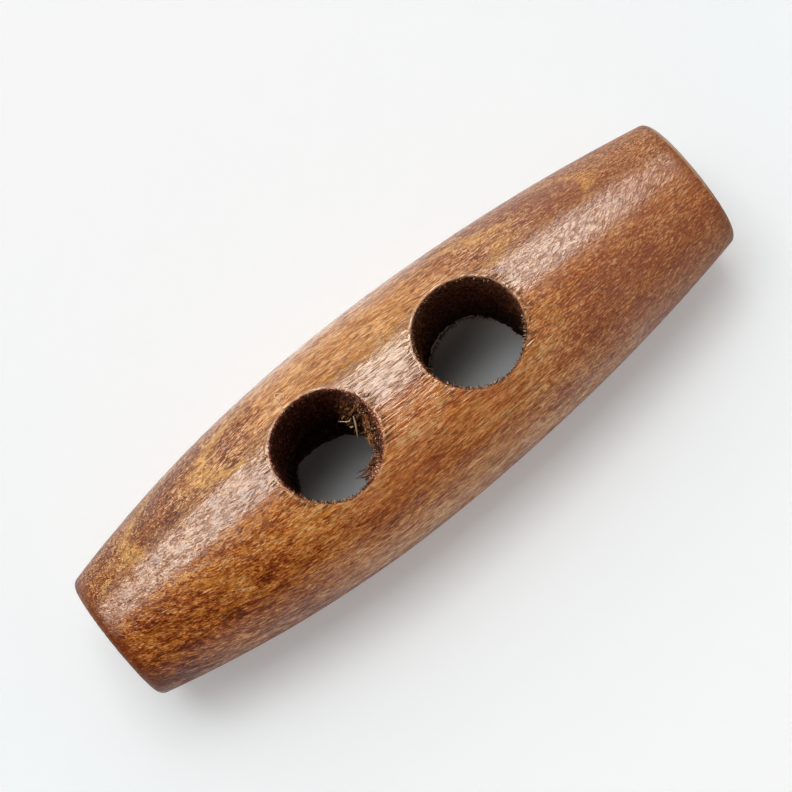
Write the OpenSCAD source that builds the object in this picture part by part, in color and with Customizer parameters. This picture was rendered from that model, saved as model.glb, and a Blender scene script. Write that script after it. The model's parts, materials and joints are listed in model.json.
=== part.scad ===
// Turned wooden toggle button, the sew-on kind for a duffle coat or a bag.
// One bar of hardwood, turned to a barrel, with two holes drilled straight
// through it side by side. Cord, leather or thread passes through the holes.
//
// The bar lies along X. Both holes run along Z. The origin is the middle of
// the bar, on the axis it was turned about. End A is the -X end, end B the
// +X end. All lengths are millimetres.

/* [Barrel] */
// Length of the bar, end face to end face
bar_length = 40; // [30:1:60]
// Diameter at the belly, the fattest place
belly_d = 12.4; // [11:0.1:18]
// How far the belly sits from the middle of the bar, negative is towards end A
belly_shift = -1.6; // [-4:0.1:4]

/* [Ends] */
// Diameter at end A, before its edge is eased
end_a_d = 7.7; // [6:0.1:10.5]
// Diameter at end B, before its edge is eased
end_b_d = 8; // [6:0.1:10.5]
// Radius of the eased edge round each end face
edge_r = 0.5; // [0.2:0.05:1.2]

/* [Holes] */
// Diameter of each drilled hole
bore_d = 6; // [3:0.1:7]
// Distance between the axes of the two holes
bore_spacing = 9.6; // [8:0.1:14]
// How far the pair of holes sits from the middle of the bar, positive is towards end B
bore_shift = 0.2; // [-2:0.1:2]

/* [Hidden] */
$fn = 96;
flank_fn = 720;
edge_fn = 64;
half_length = bar_length / 2;
belly_r = belly_d / 2;
// how far each bore's cutter runs past the belly, above and below
bore_overrun = 2;
// size of the wedge each eased corner is cut from, enough to clear the corner
wedge_size = 3 * edge_r;

// Radius of an arc that starts level and loses drop over a distance of run.
function arc_r(run, drop) = (run * run + drop * drop) / (2 * drop);

// What easing takes off the corner: a wedge from the arc's centre, less the
// arc's circle. It spans from square to the end face to square to the flank,
// whose outward direction is the unit vector flank_normal.
module corner_waste(centre, flank_normal) {
    difference() {
        polygon([
            centre,
            centre + [0, wedge_size],
            centre + [wedge_size, wedge_size],
            centre + wedge_size * flank_normal
        ]);
        translate(centre) circle(r = edge_r, $fn = edge_fn);
    }
}

// Half of the turned outline: x is the radius and y the distance from the
// belly towards one end, which is run away. The flank is one arc, level at
// the belly, so the two halves meet smoothly.
module half_outline(run, end_d) {
    flank_r = arc_r(run, belly_r - end_d / 2);
    flank_centre = [belly_r - flank_r, 0];
    // the eased corner is tangent to the end face and to the flank
    inset_r = flank_r - edge_r;
    corner_y = run - edge_r;
    corner_x = flank_centre.x + sqrt(inset_r * inset_r - corner_y * corner_y);
    corner = [corner_x, corner_y];
    difference() {
        intersection() {
            square([belly_r, run]);
            translate(flank_centre) circle(r = flank_r, $fn = flank_fn);
        }
        corner_waste(corner, (corner - flank_centre) / inset_r);
    }
}

// One turned half of the bar, standing on its belly plane and pointing up.
module turned_half(run, end_d) {
    rotate_extrude() half_outline(run, end_d);
}

// The whole turned bar, laid along X.
module turned_bar() {
    translate([belly_shift, 0, 0]) {
        rotate([0, -90, 0]) turned_half(half_length + belly_shift, end_a_d);
        rotate([0, 90, 0]) turned_half(half_length - belly_shift, end_b_d);
    }
}

// One through hole, square to the bar's axis.
module bore(x) {
    translate([x, 0, -belly_r - bore_overrun])
        cylinder(h = belly_d + 2 * bore_overrun, d = bore_d);
}

module toggle_body() {
    color("#8b5033")
    difference() {
        turned_bar();
        for (side = [-1, 1])
            bore(bore_shift + side * bore_spacing / 2);
    }
}

toggle_body();
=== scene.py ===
import json
import math

import bpy
import numpy as np
from mathutils import Matrix, Vector


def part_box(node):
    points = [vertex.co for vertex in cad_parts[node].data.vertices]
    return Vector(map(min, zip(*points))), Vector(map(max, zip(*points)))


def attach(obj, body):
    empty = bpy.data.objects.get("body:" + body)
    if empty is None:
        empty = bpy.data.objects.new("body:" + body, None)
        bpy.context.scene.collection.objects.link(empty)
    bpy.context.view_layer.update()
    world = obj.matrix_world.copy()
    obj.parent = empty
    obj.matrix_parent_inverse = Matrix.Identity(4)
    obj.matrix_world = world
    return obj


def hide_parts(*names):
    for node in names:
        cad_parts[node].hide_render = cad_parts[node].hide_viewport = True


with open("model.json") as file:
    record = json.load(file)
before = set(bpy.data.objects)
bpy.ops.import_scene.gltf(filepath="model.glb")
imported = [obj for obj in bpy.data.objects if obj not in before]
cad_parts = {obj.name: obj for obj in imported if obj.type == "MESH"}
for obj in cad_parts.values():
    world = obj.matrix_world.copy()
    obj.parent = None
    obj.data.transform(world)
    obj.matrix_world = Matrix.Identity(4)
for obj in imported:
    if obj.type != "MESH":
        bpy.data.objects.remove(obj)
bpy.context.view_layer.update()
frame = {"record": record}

MM = 0.001

# ---------------------------------------------------------------- the design's dimensions, in mm
lo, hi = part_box("toggle_body")
HALF = (hi.x - lo.x) / 2 / MM            # half the bar's length
BELLY_R = (hi.z - lo.z) / 2 / MM         # radius at the belly
MOUNTS = {m["name"]: m for m in frame["record"]["mounts"]}
HOLES = [MOUNTS[n]["pos_m"][0] / MM for n in ("cord_hole_a", "cord_hole_b")]
BORE_R = MOUNTS["cord_hole_a"]["dims"]["r_mm"]
BELLY_X = -1.6                           # where the belly sits along the bar
END_R = (3.85, 4.0)                      # radius at end A and end B
EDGE_R = 0.5                             # eased edge round each end face


def arc_r(run, drop):
    return (run * run + drop * drop) / (2 * drop)


RUN = (HALF + BELLY_X, HALF - BELLY_X)
ARC = tuple(arc_r(RUN[i], BELLY_R - END_R[i]) for i in (0, 1))


def radius(x):
    """Radius of the turned bar at x, before the end edges are eased."""
    x = np.asarray(x, float)
    big = np.where(x < BELLY_X, ARC[0], ARC[1])
    d = x - BELLY_X
    return BELLY_R - big + np.sqrt(big * big - d * d)


def corner(side):
    """Centre of the eased corner and its first angle: side 0 is end A, 1 is end B."""
    big, run = ARC[side], RUN[side]
    cx = BELLY_R - big
    ey = run - EDGE_R
    ex = cx + math.sqrt((big - EDGE_R) ** 2 - ey * ey)
    tilt = math.asin(ey / (big - EDGE_R))
    return ey, ex, tilt


# ---------------------------------------------------------------- seeded gradient noise
_rng = np.random.RandomState(41)
_perm = _rng.permutation(256)
_perm = np.concatenate([_perm, _perm, _perm])
_grad = _rng.normal(size=(256, 3))
_grad /= np.linalg.norm(_grad, axis=1)[:, None]


def perlin(p):
    p = np.asarray(p, float)
    i = np.floor(p).astype(int)
    f = p - i
    u = f * f * f * (f * (f * 6 - 15) + 10)
    i &= 255
    out = np.zeros(len(p))
    for dx in (0, 1):
        wx = u[:, 0] if dx else 1 - u[:, 0]
        for dy in (0, 1):
            wy = u[:, 1] if dy else 1 - u[:, 1]
            for dz in (0, 1):
                wz = u[:, 2] if dz else 1 - u[:, 2]
                h = _perm[_perm[_perm[i[:, 0] + dx] + i[:, 1] + dy] + i[:, 2] + dz]
                g = _grad[h]
                n = (g[:, 0] * (f[:, 0] - dx) + g[:, 1] * (f[:, 1] - dy)
                     + g[:, 2] * (f[:, 2] - dz))
                out += wx * wy * wz * n
    return out * 1.6


def fractal(p, octaves=3, gain=0.5, shift=0.0):
    p = np.asarray(p, float) + shift
    out, amp = np.zeros(len(p)), 1.0
    for _ in range(octaves):
        out += amp * perlin(p)
        p = p * 2.03 + 17.3
        amp *= gain
    return out


def smooth(a, b, x):
    t = np.clip((np.asarray(x, float) - a) / (b - a), 0, 1)
    return t * t * (3 - 2 * t)


# ---------------------------------------------------------------- the turned body's mesh
NA = 384                                  # points round the bar
STEP = 2 * math.pi / NA
PATCH = 45                                # cells from a hole's middle to its patch's side
MID = sum(HOLES) / 2
REACH = (HOLES[1] - HOLES[0]) / 2         # half the length of a hole's patch
NPX = 48                                  # cells along a patch
BORE_ROWS = 84
OUT_RINGS = 22


class Sheet:
    """Collects grids of points as one welded mesh with per-point values."""

    def __init__(self):
        self.p, self.t, self.q, self.tags = [], [], [], []
        self.n = 0

    def add(self, pts, **tags):
        pts = np.asarray(pts, float).reshape(-1, 3)
        first = self.n
        self.p.append(pts)
        tag = np.zeros((len(pts), len(TAGS)))
        for k, v in tags.items():
            tag[:, TAGS.index(k)] = v
        self.tags.append(tag)
        self.n += len(pts)
        return first

    def grid(self, pts, wrap=False, flip=False, skip=None, **tags):
        """pts is rows x cols x 3. skip(i, j) cells are left out."""
        r, c = pts.shape[:2]
        tags = {k: np.broadcast_to(v, (r, c)).reshape(-1) for k, v in tags.items()}
        first = self.add(pts, **tags)
        i, j = np.meshgrid(np.arange(r - 1), np.arange(c if wrap else c - 1), indexing="ij")
        if skip is not None:
            keep = ~skip(i, j)
            i, j = i[keep], j[keep]
        i, j = i.ravel(), j.ravel()
        k = (j + 1) % c
        q = np.stack([i * c + j, (i + 1) * c + j, (i + 1) * c + k, i * c + k], 1) + first
        self.q.append(q[:, ::-1] if flip else q)

    def tris(self, tri, flip=False):
        tri = np.asarray(tri)
        self.t.append(tri[:, ::-1] if flip else tri)


TAGS = ["bore", "rim", "face", "tear", "brow", "bead"]
sheet = Sheet()

# flank stations, from the eased edge at end A to the one at end B
ca, cb = corner(0), corner(1)
xa = BELLY_X - (ca[0] + EDGE_R * math.sin(ca[2]))
xb = BELLY_X + (cb[0] + EDGE_R * math.sin(cb[2]))
left = MID - 2 * REACH
right = MID + 2 * REACH
g = np.linspace(0, 1, 31)
g = g * (0.72 + 0.28 * g)                 # finer next to the patches
stations = np.concatenate([
    (left - (left - xa) * g)[::-1],
    np.linspace(left, MID, NPX + 1)[1:],
    np.linspace(MID, right, NPX + 1)[1:],
    (right + (xb - right) * g)[1:],
])
i_left = 30
i_mid = i_left + NPX
i_right = i_mid + NPX
angles = np.arange(NA) * STEP             # 0 is +Z, growing towards +Y


def flank(x, a):
    r = radius(x)
    return np.stack([np.broadcast_to(x, np.shape(r * np.sin(a))), r * np.sin(a), r * np.cos(a)], -1)


def in_patch(i, j):
    centre = np.minimum(j, NA - 1 - j)            # distance in cells from angle 0
    top = centre < PATCH
    other = np.abs(j + 0.5 - NA / 2) < PATCH
    return (i >= i_left) & (i < i_right) & (top | other)


X, A = np.meshgrid(stations, angles, indexing="ij")
sheet.grid(flank(X, A), wrap=True, flip=True, skip=in_patch)

# one patch of rings round each hole, on the top and mirrored underneath
bead_depth = 0.16
for h, hx in enumerate(HOLES):
    i0 = i_left if h == 0 else i_mid
    xs = stations[i0:i0 + NPX + 1]
    amax = PATCH * STEP
    aa = (np.arange(2 * PATCH + 1) - PATCH) * STEP
    # the patch's border, anticlockwise in (x, angle), starting at its +x side
    border = np.concatenate([
        np.stack([np.full(2 * PATCH, xs[-1]), aa[:-1]], 1),
        np.stack([xs[::-1][:-1], np.full(NPX, aa[-1])], 1),
        np.stack([np.full(2 * PATCH, xs[0]), aa[::-1][:-1]], 1),
        np.stack([xs[:-1], np.full(NPX, aa[0])], 1),
    ])
    bx, ba = border[:, 0], border[:, 1]
    by = radius(bx) * np.sin(ba)
    theta = np.arctan2(by, bx - hx)
    ct, st = np.cos(theta), np.sin(theta)
    n = len(theta)
    for sign in (1, -1):
        # how far the eased lip reaches out over the surface and down the wall
        tn = np.stack([ct * 2.2 + 9 * h, st * 2.2, np.full(n, 3.0 * sign)], 1)
        lip = 0.12 + 0.05 * perlin(tn * 1.3)
        lip = np.clip(lip, 0.06, 0.2)
        rx, ry = hx + (BORE_R + lip) * ct, (BORE_R + lip) * st
        ra = np.arcsin(ry / radius(rx))
        # rings from the lip to the border, closer together by the lip
        t = np.linspace(0, 1, OUT_RINGS + 1)
        t = t * (0.26 + 0.74 * t)
        gx = rx[None] + (bx - rx)[None] * t[:, None]
        ga = ra[None] + (ba - ra)[None] * t[:, None]
        rings = flank(gx, ga)
        dist = np.hypot(gx - hx, radius(gx) * np.sin(ga)) - BORE_R
        near = 1 - smooth(0.0, 0.7, dist)
        bead = np.exp(-((dist - lip[None] - 0.055) / 0.05) ** 2)
        # the eased lip, from the surface over the corner and down the wall
        cx_, cy_ = hx + BORE_R * ct, BORE_R * st
        cz_ = np.sqrt(radius(cx_) ** 2 - cy_ ** 2)
        start = rings[0]
        mid_ = np.stack([cx_, cy_, cz_], 1)
        end = np.stack([cx_, cy_, cz_ - lip * 1.3], 1)
        s = np.linspace(0, 1, 6)[:, None, None]
        curve = (1 - s) ** 2 * start + 2 * s * (1 - s) * mid_ + s ** 2 * end
        if sign < 0:
            rings = rings * [1, 1, -1]
            curve = curve * [1, 1, -1]
            low = curve[-1]
        else:
            high = curve[-1]
        sheet.grid(rings, wrap=True, flip=sign > 0, rim=near, bead=bead)
        lipw = np.linspace(0, 1, 6)[:, None]
        sheet.grid(curve, wrap=True, flip=sign < 0, rim=1.0, brow=1.0, bore=np.broadcast_to(lipw ** 0.7, (6, n)))
    # the drilled wall between both lips
    v = np.linspace(0, 1, BORE_ROWS + 1)[:, None, None]
    wall = high * (1 - v) + low * v
    vz = np.broadcast_to(wall[..., 2], (BORE_ROWS + 1, n))
    brow = 1 - smooth(0.0, 0.9, high[..., 2][None] - vz)
    tear = 0.0
    if h == 0:
        # torn grain left standing on one side, thickest low on that side
        th = np.degrees(np.broadcast_to(theta, vz.shape))
        tear = np.interp(th, (-90, -80, -70, -60, -45, -30, -18, 0, 15, 32, 40), (0, 0.12, 0.55, 0.62, 0.46, 0.62, 0.80, 0.62, 0.42, 0.16, 0))
        tear = tear * smooth(-0.5, 2.4, vz) * (1 - 0.85 * smooth(5.0, 5.6, vz))
        chunk = np.interp(th, (-4, 12, 26, 40, 52), (0, 0.9, 1.0, 0.7, 0)) * smooth(-0.6, 1.0, vz) * (1 - smooth(3.0, 4.3, vz))
        tear = np.maximum(tear, chunk)
    sheet.grid(wall, wrap=True, flip=False, bore=1.0, tear=tear, brow=brow)

# eased edges and end faces
for side in (0, 1):
    ey, ex, tilt = corner(side)
    sgn = -1 if side == 0 else 1
    arc = np.linspace(0, 1, 7)
    ang = tilt + (math.pi / 2 - tilt) * arc          # from the flank's normal to the bar's axis
    px = BELLY_X + sgn * (ey + EDGE_R * np.sin(ang))
    pr = ex + EDGE_R * np.cos(ang)
    P, Q = np.meshgrid(np.arange(7), angles, indexing="ij")
    ringpts = np.stack([px[P], pr[P] * np.sin(Q), pr[P] * np.cos(Q)], -1)
    sheet.grid(ringpts, wrap=True, flip=side == 1, face=np.broadcast_to(smooth(0.55, 1.0, arc)[:, None], P.shape))
    # the face: rings that lose half their points on the way in
    rr = ex
    count = NA
    prev = None
    radii = np.concatenate([np.linspace(ex, ex * 0.66, 9), np.linspace(ex * 0.66, ex * 0.3, 9)[1:], np.linspace(ex * 0.3, ex * 0.06, 7)[1:]])
    levels = [NA] * 9 + [NA // 2] * 8 + [NA // 4] * 6
    for r_, m in zip(radii, levels):
        a_ = np.arange(m) * (2 * math.pi / m)
        pts = np.stack([np.full(m, px[-1]), r_ * np.sin(a_), r_ * np.cos(a_)], 1)
        first = sheet.add(pts, face=1.0)
        if prev is not None:
            pf, pm = prev
            j = np.arange(m)
            k = (j + 1) % m
            if pm == m:
                quad = np.stack([pf + j, first + j, first + k, pf + k], 1)
                sheet.q.append(quad[:, ::-1] if side == 1 else quad)
            else:
                a0, a1, a2 = pf + 2 * j, pf + 2 * j + 1, pf + (2 * j + 2) % pm
                t3 = np.concatenate([np.stack([a0, first + j, a1], 1),
                                     np.stack([a1, first + j, first + k], 1),
                                     np.stack([a1, first + k, a2], 1)])
                sheet.tris(t3, flip=side == 1)
        prev = (first, m)
    c = sheet.add([[px[-1], 0, 0]], face=1.0)
    j = np.arange(prev[1])
    k = (j + 1) % prev[1]
    sheet.tris(np.stack([prev[0] + j, np.full(prev[1], c), prev[0] + k], 1), flip=side == 1)

points = np.concatenate(sheet.p)
tags = np.concatenate(sheet.tags)
quads = np.concatenate(sheet.q)
tris = np.concatenate(sheet.t)
# weld the grids where they meet
key = np.round(points / 2e-4).astype(np.int64)
_, first_of, same = np.unique(key, axis=0, return_index=True, return_inverse=True)
same = same.ravel()
welded = points[first_of]
wtags = np.zeros((len(welded), len(TAGS)))
np.maximum.at(wtags, same, tags)
quads, tris = same[quads][:, ::-1], same[tris][:, ::-1]
# points inside the holes' patches belong to no face: leave them out
used = np.zeros(len(welded), bool)
used[quads] = True
used[tris] = True
renum = np.cumsum(used) - 1
welded, wtags = welded[used], wtags[used]
quads, tris = renum[quads], renum[tris]
print("body points", len(welded), "quads", len(quads), "tris", len(tris))


def point_normals(p, quads, tris):
    nrm = np.zeros_like(p)
    fq = np.cross(p[quads[:, 2]] - p[quads[:, 0]], p[quads[:, 3]] - p[quads[:, 1]])
    for c in range(4):
        np.add.at(nrm, quads[:, c], fq)
    ft = np.cross(p[tris[:, 1]] - p[tris[:, 0]], p[tris[:, 2]] - p[tris[:, 0]])
    for c in range(3):
        np.add.at(nrm, tris[:, c], ft)
    return nrm / np.maximum(np.linalg.norm(nrm, axis=1), 1e-12)[:, None]


nrm = point_normals(welded, quads, tris)
bore, rim, face, tear, brow, bead = wtags.T
x, y, z = welded.T

# relief, all in mm
outer = (1 - bore) * (1 - face)
move = np.zeros(len(welded))
# out of round by a hair, as a hand-fed lathe leaves it
move += outer * (0.022 * fractal(welded * [0.09, 0.16, 0.16], 2, shift=3.1) - 0.02)
# raised grain: ridges that run along the bar
move += outer * 0.0022 * fractal(welded * [0.22, 2.6, 2.6], 2, shift=7.7)
move += outer * 0.0022 * fractal(welded * [0.6, 6.0, 6.0], 1, shift=11.7)
# end grain: a rougher, slightly hollowed face
rface = np.hypot(y, z)
move -= face * (0.03 * (1 - smooth(0.6, 3.3, rface)) + 0.012)
move += face * 0.012 * fractal(welded * [0.5, 3.5, 3.5], 3, shift=21.0)
# drilled wall: torn where it cuts across the grain, smoother where it runs with it
cross_grain = np.zeros(len(welded))
for hx in HOLES:
    rr = np.hypot(x - hx, y)
    k = rr < BORE_R * 1.12
    cross_grain[k] = np.abs((x[k] - hx) / rr[k])
wallw = bore * (0.35 + 0.65 * cross_grain ** 2)
move += wallw * 0.055 * fractal(welded * [3.0, 3.0, 1.3], 3, 0.6, shift=33.0)
move += bore * 0.018 * np.sin(welded[:, 2] * 2 * math.pi / 0.62 + np.arctan2(y, x) * 2) * (0.4 + 0.6 * smooth(-0.3, 0.5, perlin(welded * 0.5 + 5)))
# frayed lips: small nicks and raised fibres, worst on the exit side underneath
lipn = fractal(welded * [1.6, 5.5, 2.5], 3, 0.6, shift=51.0)
under = np.where(z < 0, 1.0, 0.55)
move += rim * (1 - bore) * 0.02 * np.clip(lipn, -0.6, 1.2) * under
move += rim * bore * 0.075 * np.clip(lipn, -0.2, 1.4) * under
# the torn lump in hole A stands out into the hole
move += tear * (0.80 + 0.45 * fractal(welded * [2.3, 2.3, 1.3], 4, 0.65, shift=63.0))
# a thin bead of lacquer and raised grain just outside each hole's lip
bead = bead * np.clip(0.55 + 1.5 * perlin(welded * [1.6, 3.4, 1.0] + 71), 0.0, 1.2)
move += outer * 0.030 * bead
shaped = welded + nrm * move[:, None]
# where the drill came out: a flap of unbroken wood in hole A, a chipped edge in hole B
exit_ = bore * smooth(-2.9, -4.7, z)
for h, hx in enumerate(HOLES):
    k = np.hypot(x - hx, y) < BORE_R * 1.15
    th = np.degrees(np.arctan2(y[k], x[k] - hx))
    fray = perlin(np.stack([th / 5.5, z[k] * 1.6, np.full(k.sum(), 3.0 + h)], 1))
    if h == 0:
        flap = np.interp(th, (-12, 20, 40, 60, 78, 95, 112, 128), (0, 0.40, 0.60, 0.62, 0.76, 0.62, 0.42, 0.0)) + 0.05 * fray
    else:
        flap = np.interp(th, (-20, 12, 32, 50, 70, 90, 125, 150), (0, 0.14, 0.10, -0.02, -0.15, -0.12, -0.12, 0.0)) + 0.13 * fray * smooth(15, 45, th)
    inward = np.stack([-(x[k] - hx), -y[k], np.zeros(k.sum())], 1)
    inward /= np.linalg.norm(inward, axis=1)[:, None]
    shaped[k] += inward * (exit_[k] * flap)[:, None]


def to_mesh(name, p, quads=None, tris=None, attrs=None):
    faces = []
    me = bpy.data.meshes.new(name)
    nq = 0 if quads is None else len(quads)
    nt = 0 if tris is None else len(tris)
    me.vertices.add(len(p))
    me.vertices.foreach_set("co", (p * MM).astype(np.float32).ravel())
    loops = np.concatenate([a.ravel() for a in (quads, tris) if a is not None and len(a)])
    me.loops.add(len(loops))
    me.loops.foreach_set("vertex_index", loops.astype(np.int32))
    me.polygons.add(nq + nt)
    starts = np.concatenate([np.arange(nq) * 4, nq * 4 + np.arange(nt) * 3]).astype(np.int32)
    me.polygons.foreach_set("loop_start", starts)
    me.update(calc_edges=True)
    me.validate()
    me.polygons.foreach_set("use_smooth", np.ones(nq + nt, bool))
    for k, v in (attrs or {}).items():
        a = me.attributes.new(k, "FLOAT", "POINT")
        a.data.foreach_set("value", np.asarray(v, np.float32))
    me.update()
    ob = bpy.data.objects.new(name, me)
    bpy.context.scene.collection.objects.link(ob)
    return ob


body = to_mesh("turned_body", shaped, quads, tris,
               {"bore": bore, "rim": rim, "face": face, "tear": tear, "brow": brow, "bead": bead})
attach(body, "root")
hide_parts("toggle_body")


# ---------------------------------------------------------------- node helpers
class Nodes:
    def __init__(self, name):
        self.mat = bpy.data.materials.new(name)
        self.mat.use_nodes = True
        self.nt = self.mat.node_tree
        self.nt.nodes.clear()
        self.x = 0

    def new(self, kind, **props):
        nd = self.nt.nodes.new(kind)
        self.x += 40
        nd.location = (self.x, 0)
        for k, v in props.items():
            setattr(nd, k, v)
        return nd

    def put(self, sock, value):
        if isinstance(value, bpy.types.NodeSocket):
            self.nt.links.new(value, sock)
        elif value is not None:
            sock.default_value = value

    def math(self, op, a, b=None, c=None, clamp=False):
        nd = self.new("ShaderNodeMath", operation=op, use_clamp=clamp)
        self.put(nd.inputs[0], a)
        self.put(nd.inputs[1], b)
        if c is not None:
            self.put(nd.inputs[2], c)
        return nd.outputs[0]

    def vec(self, op, a, b=None):
        nd = self.new("ShaderNodeVectorMath", operation=op)
        self.put(nd.inputs[0], a)
        if b is not None:
            self.put(nd.inputs[1], b)
        return nd.outputs["Value"] if op in ("LENGTH", "DOT_PRODUCT", "DISTANCE") else nd.outputs[0]

    def span(self, v, a, b, c=0.0, d=1.0, smooth_=True):
        nd = self.new("ShaderNodeMapRange", interpolation_type="SMOOTHSTEP" if smooth_ else "LINEAR", clamp=True)
        self.put(nd.inputs[0], v)
        for s, w in zip((1, 2, 3, 4), (a, b, c, d)):
            self.put(nd.inputs[s], w)
        return nd.outputs[0]

    def mix(self, f, a, b, blend="MIX"):
        nd = self.new("ShaderNodeMix", data_type="RGBA", blend_type=blend)
        self.put(nd.inputs[0], f)
        self.put(nd.inputs[6], a)
        self.put(nd.inputs[7], b)
        return nd.outputs[2]

    def noise(self, v, scale=1.0, detail=2.0, rough=0.5, distort=0.0, colour=False):
        nd = self.new("ShaderNodeTexNoise", noise_dimensions="3D")
        self.put(nd.inputs["Vector"], v)
        self.put(nd.inputs["Scale"], scale)
        self.put(nd.inputs["Detail"], detail)
        self.put(nd.inputs["Roughness"], rough)
        self.put(nd.inputs["Distortion"], distort)
        return nd.outputs["Color" if colour else "Fac"]

    def ramp(self, f, stops):
        nd = self.new("ShaderNodeValToRGB")
        self.put(nd.inputs[0], f)
        el = nd.color_ramp.elements
        while len(el) > 1:
            el.remove(el[-1])
        el[0].position, el[0].color = stops[0][0], (*stops[0][1], 1)
        for pos, col in stops[1:]:
            e = el.new(pos)
            e.color = (*col, 1)
        return nd.outputs[0]

    def attr(self, name):
        return self.new("ShaderNodeAttribute", attribute_name=name).outputs["Fac"]


def rgb(r, g, b):
    """A colour given as it looks on a screen, 0 to 255, as linear light."""
    return tuple(((c / 255) / 12.92 if c / 255 <= 0.04045 else ((c / 255 + 0.055) / 1.055) ** 2.4) for c in (r, g, b))


def rgba(r, g, b):
    return (*rgb(r, g, b), 1.0)


# the growth rings lie across the bar, facing RING_DIR, with the tree's pith far below
RING_DIR = math.radians(35)
RING_GAP = 0.81
RING_PHASE = 4.775


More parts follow.
